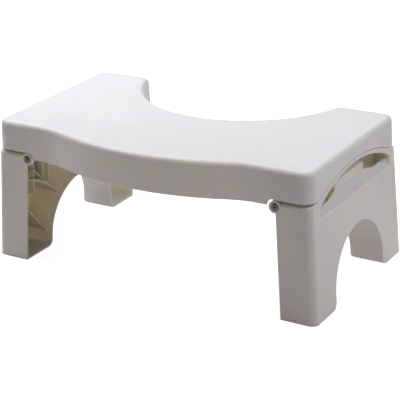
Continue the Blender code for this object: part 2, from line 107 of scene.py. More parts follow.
# Hinges
HINGE_X = 0.1694
HINGE_Z = 0.1333
EAR_R = 0.0074
EAR_DEPTH = 0.0054
EAR_ROOM = 0.0022
BOSS_R = 0.0055
BOSS_DEPTH = 0.012
BOSS_WEB = 0.0022
SCREW_HEAD_R = 0.0042
SCREW_HEAD_DEPTH = 0.0020
DOME_DEPTH_SHARE = 0.28
DOME_EDGE_SHARE = 0.93
DOME_POWER = 2.6
SCREW_SHANK_R = 0.0020
SCREW_GRIP = 0.009
SCREW_POINT = 0.0015
THREAD_PITCH = 0.0013
THREAD_DEPTH = 0.0003
THREAD_FLANK_SHARE = 0.3
RECESS_HALF_LENGTH = 0.0027
RECESS_HALF_WIDTH = 0.0008
RECESS_DEPTH = 0.0014
RECESS_TAPER = 0.6
HEAD_ROOM = 0.0013

# Legs
LEG_INNER_X = 0.1702
FOOT_INNER_X = 0.1782
LEG_OUTER_X = 0.2142
FOOT_OUTER_X = 0.2226
LEG_HALF_DEPTH = 0.1153
FOOT_HALF_DEPTH = 0.1203
LEG_CORNER_R = 0.009
LEG_TOP_EDGE_R = 0.0046
LEG_WALL = 0.0025
LEG_TOP_GAP = 0.0007
LEG_CORNER_DROP = 0.0028
LEG_CORNER_RUN = 0.010
ARCH_INNER_R = 0.0660
ARCH_INNER_Z = 0.0105
ARCH_OUTER_R = 0.0655
ARCH_OUTER_Z = 0.0155
FOOT_CORNER_R = 0.0085
HOLD_HALF_LENGTH = 0.095
HOLD_BOTTOM_Z = 0.1186
BAND_BOTTOM_Z = 0.1553
BAND_BOTTOM_R = 0.2053
PANEL_LEDGE = 0.0014
PANEL_LEAN = 0.0076
PANEL_TOP_Z = 0.132
PANEL_END_Z = 0.1272
PANEL_SHOULDER_Y = 0.060
PANEL_WALL = 0.0022
BOX_HALF_LENGTH = 0.0385
BOX_TOP_Z = 0.142
BOX_CORNER_R = 0.0045
BOX_FACE_SETBACK = 0.0006
POCKET_DEPTH = 0.024
LEG_RIB = 0.0018
LEG_RIB_SETBACK = 0.008
LEG_RIB_STEP = 0.0006
BRACE_LOW_Y = 0.038
BRACE_LOW_Z = 0.0587
BRACE_HIGH_Z = 0.1041
BRACE_R = 0.141
STRUT_LOW_Y = 0.066
STRUT_LOW_Z = 0.0175
STRUT_HIGH_Z = 0.0785
UPRIGHT_YS = (0.059, 0.069, 0.088)
UPRIGHT_LOW_ZS = (0.084, 0.088, 0.076)
UPRIGHT_HIGH_Z = 0.1165
FORK_Z = 0.109
FORK_DROP = 0.014

# Fits and mesh
CLEARANCE = 0.0003
SWEEP_ROOM = 0.0025
OVERRUN = 0.005
ARC_SAG = 0.00003
RIM_STEPS = 10
LIP_STEPS = 4
EAR_STEPS = 14
EAR_STOP_PAST = 2
END_STEPS = 60
RIDGE_STEPS = 60
SCREW_STEPS = 48
DOME_STEPS = 8
EDGE_BEVEL = 0.0005
RIB_BEVEL = 0.0003
BEVEL_SEGMENTS = 2
SHELL_BEVEL_ANGLE = 38
RIB_BEVEL_ANGLE = 40
DECK_SMOOTH_ANGLE = 50
LEG_SMOOTH_ANGLE = 32
SMALL_SMOOTH_ANGLE = 30
FLAT_ANGLE = 0.2
MERGE_WITHIN = 0.00002
AXIS_MERGE_WITHIN = 0.000003
MIDDLE_Y = (DECK_HALF_DEPTH + SKIRT_DRAFT + BULGE_REACH - FOOT_HALF_DEPTH) / 2

ENDS = (("left", -1), ("right", 1))
FACES = ((-1, "front"), (1, "rear"))


def clear_scene():
    for thing in list(bpy.data.objects):
        bpy.data.objects.remove(thing)


# Meshes


def new_object(name, mesh):
    data = bpy.data.meshes.new(name)
    mesh.to_mesh(data)
    mesh.free()
    thing = bpy.data.objects.new(name, data)
    bpy.context.scene.collection.objects.link(thing)
    return thing


def arc_steps(radius, sweep):
    return max(3, math.ceil(abs(math.radians(sweep)) / (2 * math.acos(1 - ARC_SAG / radius))))


def arc(centre, radius, start, sweep, steps):
    angles = [math.radians(start + sweep * step / steps) for step in range(steps + 1)]
    return [(centre[0] + radius * math.cos(a), centre[1] + radius * math.sin(a)) for a in angles]


def round_arc(centre, radius, start, sweep):
    return arc(centre, radius, start, sweep, arc_steps(radius, sweep))


def skin(rings):
    mesh = bmesh.new()
    loops = [[mesh.verts.new(point) for point in ring] for ring in rings]
    for near, far in zip(loops, loops[1:]):
        for index in range(len(near)):
            mesh.faces.new((near[index], near[index - 1], far[index - 1], far[index]))
    mesh.faces.new(loops[0])
    mesh.faces.new(reversed(loops[-1]))
    bmesh.ops.recalc_face_normals(mesh, faces=mesh.faces)
    return mesh


def box(low, high):
    mesh = bmesh.new()
    bmesh.ops.create_cube(mesh, size=1)
    bmesh.ops.scale(mesh, vec=[b - a for a, b in zip(low, high)], verts=mesh.verts)
    bmesh.ops.translate(mesh, vec=[(a + b) / 2 for a, b in zip(low, high)], verts=mesh.verts)
    return mesh


def cylinder_along_y(x, z, near_y, far_y, radius):
    ring = arc((x, z), radius, 0, 360 - 360 / SCREW_STEPS, SCREW_STEPS - 1)
    return skin([[(x, y, z) for x, z in ring] for y in (near_y, far_y)])


def mirrored(points):
    return [(-y, z) for y, z in reversed(points)]


def combine(body, mesh, operation, tools):
    """Adds a Boolean with a mesh, or with an object that is a tool already."""
    tool = mesh if isinstance(mesh, bpy.types.Object) else new_object("tool", mesh)
    tools.append(tool)
    boolean = body.modifiers.new("boolean", "BOOLEAN")
    boolean.operation = operation
    boolean.object = tool


def bevel(body, width, angle):
    modifier = body.modifiers.new("bevel", "BEVEL")
    modifier.width = width
    modifier.segments = BEVEL_SEGMENTS
    modifier.limit_method = "ANGLE"
    modifier.angle_limit = math.radians(angle)
    modifier.use_clamp_overlap = True
    modifier.miter_outer = "MITER_ARC"


def bake(body):
    """Applies the modifiers of a body."""
    graph = bpy.context.evaluated_depsgraph_get()
    data = bpy.data.meshes.new_from_object(body.evaluated_get(graph))
    body.modifiers.clear()
    body.data = data


def remove(things):
    for thing in things:
        bpy.data.objects.remove(thing)


def clean(body):
    """Dissolves what Booleans leave: doubled points, slivers and cuts across flat faces."""
    mesh = bmesh.new()
    mesh.from_mesh(body.data)
    bmesh.ops.remove_doubles(mesh, verts=mesh.verts, dist=MERGE_WITHIN)
    bmesh.ops.dissolve_degenerate(mesh, dist=MERGE_WITHIN, edges=mesh.edges)
    flat = math.radians(FLAT_ANGLE)
    bmesh.ops.dissolve_limit(mesh, angle_limit=flat, verts=mesh.verts, edges=mesh.edges)
    mesh.to_mesh(body.data)
    mesh.free()


def smooth(body, angle):
    body.data.shade_smooth()
    body.data.set_sharp_from_angle(angle=math.radians(angle))
    weighted = body.modifiers.new("weighted", "WEIGHTED_NORMAL")
    weighted.keep_sharp = True


def join(name, meshes):
    """One object of several bmeshes."""
    whole = bmesh.new()
    for mesh in meshes:
        data = bpy.data.meshes.new("part")
        mesh.to_mesh(data)
        mesh.free()
        whole.from_mesh(data)
        bpy.data.meshes.remove(data)
    return new_object(name, whole)


# Deck


def end_edge_z(y):
    """Lower edge of the deck's end wall: an arch that runs softly into the level corners."""
    arch = END_ARCH_Z - END_ARCH_R + math.sqrt(END_ARCH_R**2 - y * y)
    over = arch - SKIRT_CORNER_Z
    return SKIRT_CORNER_Z + (over + math.sqrt(over * over + SHOULDER_BLEND**2)) / 2


def lower_edge(x, y):
    """Height of the skirt's lower edge at a point of the deck's outline."""
    x = abs(x)
    radius = EAR_R + EAR_ROOM
    if x >= DECK_HALF_LENGTH - DECK_CORNER_R / 2 and abs(y) < DECK_HALF_DEPTH - DECK_CORNER_R / 2:
        return end_edge_z(y)
    if x > HINGE_X:
        return SKIRT_CORNER_Z
    if x > HINGE_X - radius:
        rise = HINGE_Z + math.sqrt(radius**2 - (x - HINGE_X) ** 2)
        return min(max(rise, SKIRT_EDGE_Z), SKIRT_CORNER_Z)
    return SKIRT_EDGE_Z


def straight(start, end, stops, normal):
    """Points between two ends of a straight stretch of the outline, the ends left out."""
    return [
        (start[0] + (end[0] - start[0]) * share, start[1] + (end[1] - start[1]) * share, *normal)
        for share in stops
    ]


def turn(centre, radius, start, sweep, outwards=1):
    """Points round part of a circle with the outline's outward normal at each."""
    found = []
    for x, y in round_arc(centre, radius, start, sweep):
        normal = [outwards * (a - b) / radius for a, b in zip((x, y), centre)]
        found.append((x, y, *normal))
    return found


def ear_stops():
    """Places along x that follow the round cut beside an ear."""
    radius = EAR_R + EAR_ROOM
    top = math.degrees(math.asin((SKIRT_CORNER_Z - HINGE_Z) / radius))
    low = math.degrees(math.asin((SKIRT_EDGE_Z - HINGE_Z) / radius))
    angles = [low + (top - low) * step / EAR_STEPS for step in range(EAR_STEPS + 1)]
    angles = [low - EAR_STOP_PAST] + angles + [top + EAR_STOP_PAST]
    return [HINGE_X - radius * math.cos(math.radians(angle)) for angle in angles]


def deck_outline():
    """Plan of the deck as (x, y, normal x, normal y), anticlockwise from above."""
    reach = BULGE_R + BULGE_BLEND_R
    blend_x = math.sqrt(reach**2 - (reach - BULGE_REACH) ** 2)
    angle = math.degrees(math.asin(blend_x / reach))
    right = turn((0, BULGE_R - BULGE_REACH - DECK_HALF_DEPTH), BULGE_R, -90, angle)
    blend = (blend_x, -DECK_HALF_DEPTH - BULGE_BLEND_R)
    right += turn(blend, BULGE_BLEND_R, 90 + angle, -angle, -1)[1:]
    corner_x, corner_y = DECK_HALF_LENGTH - DECK_CORNER_R, DECK_HALF_DEPTH - DECK_CORNER_R
    right += [(x, -DECK_HALF_DEPTH, 0, -1) for x in ear_stops()]
    right += turn((corner_x, -corner_y), DECK_CORNER_R, -90, 90)
    shares = [step / END_STEPS for step in range(1, END_STEPS)]
    ends = (DECK_HALF_LENGTH, -corner_y), (DECK_HALF_LENGTH, corner_y)
    right += straight(*ends, shares, (1, 0))
    right += turn((corner_x, corner_y), DECK_CORNER_R, 0, 90)
    right += [(x, DECK_HALF_DEPTH, 0, 1) for x in reversed(ear_stops())]
    mouth_y = DECK_HALF_DEPTH - NOTCH_MOUTH_R
    mouth_x = math.sqrt((NOTCH_R + NOTCH_MOUTH_R) ** 2 - (NOTCH_CENTRE_Y - mouth_y) ** 2)
    angle = math.degrees(math.atan2(NOTCH_CENTRE_Y - mouth_y, mouth_x))
    right += turn((mouth_x, mouth_y), NOTCH_MOUTH_R, 90, 90 - angle)
    right += turn((0, NOTCH_CENTRE_Y), NOTCH_R, -angle, angle - 90, -1)[1:]
    return right + [(-x, y, -nx, ny) for x, y, nx, ny in reversed(right[1:-1])]


def skirt_profile(low_z):
    """Outward shift and height down the outside of the wall, round its lip and up the inside."""

    def draft(z):
        return SKIRT_DRAFT * (DECK_Z - z) / (DECK_Z - SKIRT_EDGE_Z)

    rim_z = DECK_Z - DECK_RIM_R
    rim = arc((-DECK_RIM_R, rim_z), DECK_RIM_R, 90, -90, RIM_STEPS)
    rim = [(shift + draft(z), z) for shift, z in rim]
    outer, inner = draft(low_z), draft(low_z) - DECK_WALL
    lip = arc((outer - LIP_R, low_z + LIP_R), LIP_R, 0, -90, LIP_STEPS)
    lip += arc((inner + LIP_R, low_z + LIP_R), LIP_R, -90, -90, LIP_STEPS)
    inside_r = DECK_RIM_R - DECK_WALL
    inside = arc((-DECK_RIM_R, rim_z), inside_r, 0, 90, RIM_STEPS // 2)
    return rim + lip + [(shift + draft(z), z) for shift, z in inside]


def deck_shell():
    columns = []
    for x, y, nx, ny in deck_outline():
        profile = skirt_profile(lower_edge(x, y))
        columns.append([(x + nx * shift, y + ny * shift, z) for shift, z in profile])
    return skin([list(ring) for ring in zip(*columns)])


def spans(crossing, along_x):
    """Where a rib line runs inside the deck's wall, from the outline drawn in by half the wall."""
    inset = DECK_WALL / 2
    points = [(x - nx * inset, y - ny * inset) for x, y, nx, ny in deck_outline()]
    found = []
    for (ax, ay), (bx, by) in zip(points, points[1:] + points[:1]):
        a, b = ((ay, by) if along_x else (ax, bx))
        if (a - crossing) * (b - crossing) <= 0 and a != b:
            share = (crossing - a) / (b - a)
            found.append(ax + (bx - ax) * share if along_x else ay + (by - ay) * share)
    unique = []
    for value in sorted(found):
        if not unique or value - unique[-1] > LIP_R:
            unique.append(value)
    return list(zip(unique[::2], unique[1::2]))


def deck_ribs():
    """Stiffening ribs, each cut back at its ends to stay under the round rim."""
    low, top = DECK_Z - DECK_WALL - DECK_RIB_DEPTH, DECK_Z - DECK_WALL / 2
    rim_z, back_off = DECK_Z - DECK_RIM_R, (DECK_RIM_R - DECK_WALL) * DECK_RIB_RIM_SHARE
    half = DECK_RIB / 2
    lines = [(share * DECK_HALF_LENGTH, False) for share in DECK_RIB_X_SHARES]
    lines += [(share * DECK_HALF_DEPTH, True) for share in DECK_RIB_Y_SHARES]
    for place, along_x in lines:
        for start, end in spans(place, along_x):
            outline = [(start, low), (end, low), (end, rim_z), (end - back_off, top)]
            outline += [(start + back_off, top), (start, rim_z)]
            if along_x:
                rings = [[(a, place + shift, z) for a, z in outline] for shift in (-half, half)]
            else:
                rings = [[(place + shift, a, z) for a, z in outline] for shift in (-half, half)]
            yield skin(rings)


def hinge_supports():
    """The deck's screw bosses with their webs and cross plates."""
    start = LEG_HALF_DEPTH - EAR_DEPTH - CLEARANCE
    top = DECK_Z - DECK_WALL / 2
    half = BOSS_WEB / 2
    for _, side in ENDS:
        for face, _ in FACES:
            x = side * HINGE_X
            near, far = face * start, face * (start - BOSS_DEPTH)
            low_y, high_y = sorted((near, far))
            back_y = sorted((far, far + face * BOSS_WEB))
            plate_x = sorted((x - side * (EAR_R + EAR_ROOM), x + side * BOSS_R))
            low_z = HINGE_Z + BOSS_R / 2
            yield cylinder_along_y(x, HINGE_Z, near, far, BOSS_R)
            yield box((x - half, low_y, low_z), (x + half, high_y, top))
            yield box((plate_x[0], back_y[0], low_z), (plate_x[1], back_y[1], top))


# Legs


def along(low, high, z):
    return low + (high - low) * z / HINGE_Z


def inner_x(z):
    return along(FOOT_INNER_X, LEG_INNER_X, z)


def outer_x(z):
    return along(FOOT_OUTER_X, LEG_OUTER_X, z)


def half_depth(z):
    return along(FOOT_HALF_DEPTH, LEG_HALF_DEPTH, z)


def leg_plan(z, inset, mouth):
    outer, depth, radius = outer_x(z) - inset, half_depth(z) - inset, LEG_CORNER_R - inset
    steps = arc_steps(LEG_CORNER_R, 90)
    points = [(inner_x(z) - mouth, -depth)]
    points += arc((outer - radius, radius - depth), radius, -90, 90, steps)
    points += arc((outer - radius, depth - radius), radius, 0, 90, steps)
    points += [(inner_x(z) - mouth, depth)]
    return [(x, y, z) for x, y in points]


def arch_at(x):
    inner = (FOOT_INNER_X + LEG_INNER_X) / 2
    outer = (FOOT_OUTER_X + LEG_OUTER_X) / 2
    share = (x - inner) / (outer - inner)
    radius = ARCH_INNER_R + (ARCH_OUTER_R - ARCH_INNER_R) * share
    return radius, ARCH_INNER_Z + (ARCH_OUTER_Z - ARCH_INNER_Z) * share


def leg_profile(x, inset):
    radius, centre_z = arch_at(x)
    reach = FOOT_HALF_DEPTH + OVERRUN
    steps = arc_steps(FOOT_CORNER_R, 90)
    toe = arc((radius + FOOT_CORNER_R, FOOT_CORNER_R), FOOT_CORNER_R - inset, 180, 90, steps)
    arch = arc((0, centre_z), radius + inset, 0, 90, arc_steps(ARCH_INNER_R, 90))
    top_z = SKIRT_CORNER_Z - LEG_TOP_GAP - LEG_CORNER_DROP
    edge_y = half_depth(top_z) - LEG_TOP_EDGE_R + CLEARANCE / 2
    edge_r = LEG_TOP_EDGE_R - inset
    edge = arc((edge_y, top_z - LEG_TOP_EDGE_R), edge_r, 0, 90, arc_steps(LEG_TOP_EDGE_R, 90))
    ridge = []
    for step in range(1, RIDGE_STEPS + 1):
        y = edge_y * (1 - step / RIDGE_STEPS)
        drop = LEG_CORNER_DROP * max(0, 1 - (edge_y - y) / LEG_CORNER_RUN)
        ridge.append((y, end_edge_z(y) - LEG_TOP_GAP - drop - inset))
    back = arch[::-1] + toe + [(reach, inset), (reach, top_z - LEG_TOP_EDGE_R)] + edge + ridge
    return [(x, y, z) for y, z in back + mirrored(back[1:-1])]


def leg_body(name, inset, mouth, tools):
    low, high = -OVERRUN, END_ARCH_Z + OVERRUN
    body = new_object(name, skin([leg_plan(z, inset, mouth) for z in (low, high)]))
    near, far = HINGE_X - 2 * OVERRUN, FOOT_OUTER_X + 2 * OVERRUN
    combine(body, skin([leg_profile(x, inset) for x in (near, far)]), "INTERSECT", tools)
    return body


def hold_opening():
    angle = math.degrees(math.asin(HOLD_HALF_LENGTH / BAND_BOTTOM_R))
    outline = [(-HOLD_HALF_LENGTH, HOLD_BOTTOM_Z), (HOLD_HALF_LENGTH, HOLD_BOTTOM_Z)]
    outline += round_arc((0, BAND_BOTTOM_Z - BAND_BOTTOM_R), BAND_BOTTOM_R, 90 - angle, 2 * angle)
    near, far = LEG_OUTER_X - LEG_WALL - SWEEP_ROOM, FOOT_OUTER_X + OVERRUN
    return skin([[(x, y, z) for y, z in outline] for x in (near, far)])


def panel_x(z):
    start = outer_x(HOLD_BOTTOM_Z) - PANEL_LEDGE
    return start - PANEL_LEAN * (z - HOLD_BOTTOM_Z) / (PANEL_TOP_Z - HOLD_BOTTOM_Z)


def hold_panel():
    end = HOLD_HALF_LENGTH + PANEL_WALL
    right = [(end, HOLD_BOTTOM_Z - LEG_WALL / 2), (end, PANEL_END_Z)]
    right += [(PANEL_SHOULDER_Y, PANEL_END_Z), (BOX_HALF_LENGTH, PANEL_TOP_Z)]
    outline = right + mirrored(right)
    return skin([[(panel_x(z) - wall, y, z) for y, z in outline] for wall in (0, PANEL_WALL)])


def pocket_boxes():
    outer, back = outer_x(HOLD_BOTTOM_Z), outer_x(HOLD_BOTTOM_Z) - POCKET_DEPTH
    reach, low = HOLD_HALF_LENGTH + PANEL_WALL, HOLD_BOTTOM_Z - LEG_WALL
    yield box((back, -reach, low), (outer, reach, low + PANEL_WALL))
    yield box((back, -reach, low), (back + PANEL_WALL, reach, END_ARCH_Z))
    for face, _ in FACES:
        ends = sorted((face * (reach - PANEL_WALL), face * reach))
        yield box((back, ends[0], low), (outer, ends[1], END_ARCH_Z))


def box_outline(inset, low):
    y, z, radius = BOX_HALF_LENGTH - inset, BOX_TOP_Z - inset, BOX_CORNER_R - inset
    right = [(y, low)] + arc((y - radius, z - radius), radius, 0, 90, arc_steps(BOX_CORNER_R, 90))
    return right + mirrored(right)


def hold_box():
    face = panel_x(PANEL_TOP_Z) - BOX_FACE_SETBACK
    back = outer_x(HOLD_BOTTOM_Z) - POCKET_DEPTH + PANEL_WALL / 2
    outer = box_outline(0, HOLD_BOTTOM_Z - LEG_WALL / 2)
    inner = box_outline(PANEL_WALL, HOLD_BOTTOM_Z)
    shell = skin([[(x, y, z) for y, z in outer] for x in (face, back)])
    ends = (face - PANEL_WALL, back - OVERRUN)
    return shell, skin([[(x, y, z) for y, z in inner] for x in ends])


def ribbon(points, width):
    left, right = [], []
    for index, (y, z) in enumerate(points):
        before = points[max(index - 1, 0)]
        after = points[min(index + 1, len(points) - 1)]
        dy, dz = after[0] - before[0], after[1] - before[1]
        scale = width / 2 / math.hypot(dy, dz)
        left.append((y - dz * scale, z + dy * scale))
        right.append((y + dz * scale, z - dy * scale))
    return left + right[::-1]


def brace_curve():
    high, low = (FOOT_HALF_DEPTH, BRACE_HIGH_Z), (BRACE_LOW_Y, BRACE_LOW_Z)
    span_y, span_z = high[0] - low[0], high[1] - low[1]
    span = math.hypot(span_y, span_z)
    rise = math.sqrt(BRACE_R**2 - (span / 2) ** 2)
    centre_y = (high[0] + low[0]) / 2 + span_z / span * rise
    centre = (centre_y, (high[1] + low[1]) / 2 - span_y / span * rise)
    start = math.degrees(math.atan2(high[1] - centre[1], high[0] - centre[0]))
    return round_arc(centre, BRACE_R, start, math.degrees(2 * math.asin(span / 2 / BRACE_R)))


def foot_ribs():
    yield brace_curve()
    yield [(STRUT_LOW_Y, STRUT_LOW_Z), (FOOT_HALF_DEPTH, STRUT_HIGH_Z)]
    for y, low_z in zip(UPRIGHT_YS, UPRIGHT_LOW_ZS):
        yield [(y, low_z), (y, UPRIGHT_HIGH_Z)]
    fork_y = UPRIGHT_YS[-1]
    for reach in (-FORK_DROP, FORK_DROP):
        yield [(fork_y, FORK_Z), (fork_y + reach, FORK_Z - FORK_DROP)]


def right_leg():
    """The right leg's shell and its ribs, as two objects."""
    tools = []
    shell = leg_body("leg_shell", 0, 0, tools)
    hollow = leg_body("leg_hollow", LEG_WALL, OVERRUN, tools)
    combine(shell, hollow, "DIFFERENCE", tools)
    core = leg_body("leg_core", LEG_WALL / 2, 0, tools)
    start = LEG_HALF_DEPTH - EAR_DEPTH - CLEARANCE
    for face, _ in FACES:
        far, near = half_depth(SKIRT_CORNER_Z) - LEG_WALL, start - BOSS_DEPTH - SWEEP_ROOM
        low_y, high_y = sorted((face * near, face * far))
        low = (HINGE_X - OVERRUN, low_y, HINGE_Z)
        high = (HINGE_X + BOSS_R + SWEEP_ROOM, high_y, SKIRT_CORNER_Z + OVERRUN)
        combine(shell, box(low, high), "DIFFERENCE", tools)
    for mesh in pocket_boxes():
        wall = new_object("pocket", mesh)
        combine(wall, core, "INTERSECT", [])
        combine(shell, wall, "UNION", tools)
    combine(shell, hold_opening(), "DIFFERENCE", tools)
    combine(shell, hold_panel(), "UNION", tools)
    block, hole = hold_box()
    combine(shell, block, "UNION", tools)
    combine(shell, hole, "DIFFERENCE", tools)
    ribs = []
    for face, _ in FACES:
        for index, line in enumerate(foot_ribs()):
            outline = ribbon([(face * y, z) for y, z in line], LEG_RIB)
            setback = LEG_RIB_SETBACK + index * LEG_RIB_STEP
            free = [(inner_x(z) + setback, y, z) for y, z in outline]
            rib = new_object("rib", skin([free, [(outer_x(z), y, z) for y, z in outline]]))
            bevel(rib, RIB_BEVEL, RIB_BEVEL_ANGLE)
            combine(rib, core, "INTERSECT", [])
            ribs.append(rib)
        face_y = face * LEG_HALF_DEPTH
        inside, outside = face_y - face * EAR_DEPTH, face_y + face * OVERRUN
        seat = face_y - face * (SCREW_HEAD_DEPTH + 2 * CLEARANCE)
        hole_r, seat_r = SCREW_SHANK_R + CLEARANCE, SCREW_HEAD_R + HEAD_ROOM
        proud = face_y + face * CLEARANCE / 3
        ear = cylinder_along_y(HINGE_X, HINGE_Z, proud, inside, EAR_R)
        combine(shell, ear, "UNION", tools)
        hole = cylinder_along_y(HINGE_X, HINGE_Z, outside, inside - face * OVERRUN, hole_r)
        combine(shell, hole, "DIFFERENCE", tools)
        counterbore = cylinder_along_y(HINGE_X, HINGE_Z, outside, seat, seat_r)
        combine(shell, counterbore, "DIFFERENCE", tools)
    bake(shell)
    clean(shell)
    bevel(shell, EDGE_BEVEL, SHELL_BEVEL_ANGLE)
    bake(shell)
    for rib in ribs:
        bake(rib)
    whole = bmesh.new()
    for rib in ribs:
        whole.from_mesh(rib.data)
    ribs_piece = new_object("leg_ribs", whole)
    remove(ribs + list(dict.fromkeys(tools + [core])))
    return shell, ribs_piece


def mirror_copy(thing, name):
    """Copy of a piece turned over to the left end."""
    mesh = bmesh.new()
    mesh.from_mesh(thing.data)
    bmesh.ops.transform(mesh, matrix=Matrix.Scale(-1, 4, (1, 0, 0)), verts=mesh.verts)
    bmesh.ops.reverse_faces(mesh, faces=mesh.faces)
    return new_object(name, mesh)


# Screws


def screw(name, side, face):
    """Pan-head screw with a cross recess and a rolled thread, its head's face at its own origin."""
    length = EAR_DEPTH + SCREW_GRIP
    dome, edge = SCREW_HEAD_DEPTH * DOME_DEPTH_SHARE, SCREW_HEAD_R * DOME_EDGE_SHARE
    profile = [(0, 0)]
    for step in range(1, DOME_STEPS + 1):
        share = step / DOME_STEPS
        profile.append((edge * share, -dome * share**DOME_POWER))
    profile += [(SCREW_HEAD_R, -dome - SCREW_HEAD_R + edge), (SCREW_HEAD_R, -SCREW_HEAD_DEPTH)]
    profile += [(SCREW_SHANK_R, -SCREW_HEAD_DEPTH)]
    root_r, flank = SCREW_SHANK_R - THREAD_DEPTH, THREAD_PITCH * THREAD_FLANK_SHARE
    z = -SCREW_HEAD_DEPTH - THREAD_PITCH
    while z > SCREW_POINT - length + THREAD_PITCH:
        profile += [(SCREW_SHANK_R, z), (root_r, z - flank), (root_r, z - THREAD_PITCH + flank)]
        z -= THREAD_PITCH
    profile += [(SCREW_SHANK_R, SCREW_POINT - length), (0, -length)]
    mesh = bmesh.new()
    points = [mesh.verts.new((x, 0, z)) for x, z in profile]
    for start, end in zip(points, points[1:]):
        mesh.edges.new((start, end))
    thing = new_object(name, mesh)
    lathe = thing.modifiers.new("turn", "SCREW")
    lathe.steps = lathe.render_steps = SCREW_STEPS
    lathe.use_merge_vertices = True
    lathe.merge_threshold = AXIS_MERGE_WITHIN
    long, wide = RECESS_HALF_LENGTH, RECESS_HALF_WIDTH
    cross = []
    for turns in range(4):
        for x, y in ((long, -wide), (long, wide), (wide, wide)):
            for _ in range(turns):
                x, y = -y, x
            cross.append((x, y))
    floor = [(x * RECESS_TAPER, y * RECESS_TAPER, -RECESS_DEPTH) for x, y in cross]
    tools = []
    combine(thing, skin([[(x, y, HEAD_ROOM) for x, y in cross], floor]), "DIFFERENCE", tools)
    bake(thing)
    clean(thing)
    remove(tools)
    thing.location = (side * HINGE_X, MIDDLE_Y + face * (LEG_HALF_DEPTH - CLEARANCE), HINGE_Z)
    thing.rotation_euler = (math.radians(-90 * face), 0, 0)
    return thing


# Materials

# Painted light: a warm pale tint mixed in where the local ambient occlusion finds a hollow. It
# stands in for light passing through and bouncing inside the thin plastic, not for a colour of the
# plastic.
PAINTED_HOLLOW_GLOW = (0.97, 0.91, 0.78)
DECK_COLOURS = (0.82, 0.82, 0.83), (0.79, 0.79, 0.80)
LEG_COLOURS = (0.815, 0.80, 0.805), (0.785, 0.77, 0.775)
# Painted light: ribs and bosses sit in the hollows and are coloured with the warm glow throughout.
# It stands in for light passing through the plastic; the plastic itself is white.
RIB_PAINTED_GLOW_COLOURS = (0.89, 0.81, 0.63), (0.86, 0.78, 0.60)
PLASTIC_ROUGH = 0.42, 0.54
PLASTIC_IOR = 1.46
SUBSURFACE_SHARE = 0.9
SUBSURFACE_RADIUS = (1.0, 0.8, 0.45)
SUBSURFACE_SCALE = 0.006
# Reach, samples and range of the occlusion mask that places the painted hollow glow.
HOLLOW_REACH = 0.12
HOLLOW_SAMPLES = 6
HOLLOW_RANGE = 0.25, 0.6
STEEL_COLOURS = (0.045, 0.04, 0.045), (0.16, 0.15, 0.16)
STEEL_ROUGH = 0.5, 0.3
FLOOR_COLOUR = (0.77, 0.755, 0.755)
FLOOR_ROUGH = 0.9
FLOOR_GLOW_COLOUR = (0.98, 0.99, 1)
FLOOR_GLOW = 0.88

# Noises: scale, detail and roughness
CLOUD_NOISE = 9, 4, 0.55
GLOSS_NOISE = 34, 3, 0.6
RIPPLE_NOISE = 26, 2, 0.4
GRAIN_NOISE = 2600, 2, 0.5
GRIME_NOISE = 900, 4, 0.6
NOISE_RANGE = 0.3, 0.7

# Bumps: strength and distance
RIPPLE_BUMP = 0.12, 0.0012
GRAIN_BUMP = 0.16, 0.00012
RING_BUMP = 0.2, 0.00005
RING_SCALE = 700
RING_DISTORTION = 0.6


def grey(value):
    return (value, value, value)


class Shader:
    """Small helper round a material's nodes."""

    def __init__(self, name):
        self.material = bpy.data.materials.new(name)
        self.material.use_nodes = True
        self.tree = self.material.node_tree
        self.shader = self.tree.nodes["Principled BSDF"]

    def node(self, kind, **values):
        made = self.tree.nodes.new(kind)
        for key, value in values.items():
            if key in made.inputs:
                made.inputs[key].default_value = value
            else:
                setattr(made, key, value)
        return made

    def link(self, output, target):
        self.tree.links.new(output, target)

    def noise(self, scale, detail, roughness):
        made = self.node("ShaderNodeTexNoise", Scale=scale, Detail=detail, Roughness=roughness)
        self.link(self.node("ShaderNodeTexCoord").outputs["Object"], made.inputs["Vector"])
        return made.outputs["Fac"]

    def ramp(self, factor, low, high, between=NOISE_RANGE):
        made = self.node("ShaderNodeValToRGB")
        start, end = between
        made.color_ramp.elements[0].position = start
        made.color_ramp.elements[0].color = (*low, 1)
        made.color_ramp.elements[1].position = end
        made.color_ramp.elements[1].color = (*high, 1)
        self.link(factor, made.inputs["Fac"])
        return made.outputs["Color"]

    def mix(self, factor, plain, other):
        """Mixes a plain colour with another node's colour."""
        made = self.node("ShaderNodeMix", data_type="RGBA")
        first, second = (socket for socket in made.inputs if socket.type == "RGBA")
        first.default_value = (*plain, 1)
        self.link(factor, made.inputs["Factor"])
        self.link(other, second)
        return next(socket for socket in made.outputs if socket.type == "RGBA")

    def bump(self, height, strength, distance, before=None):
        made = self.node("ShaderNodeBump", Strength=strength, Distance=distance)
        self.link(height, made.inputs["Height"])
        if before:
            self.link(before, made.inputs["Normal"])
        return made.outputs["Normal"]


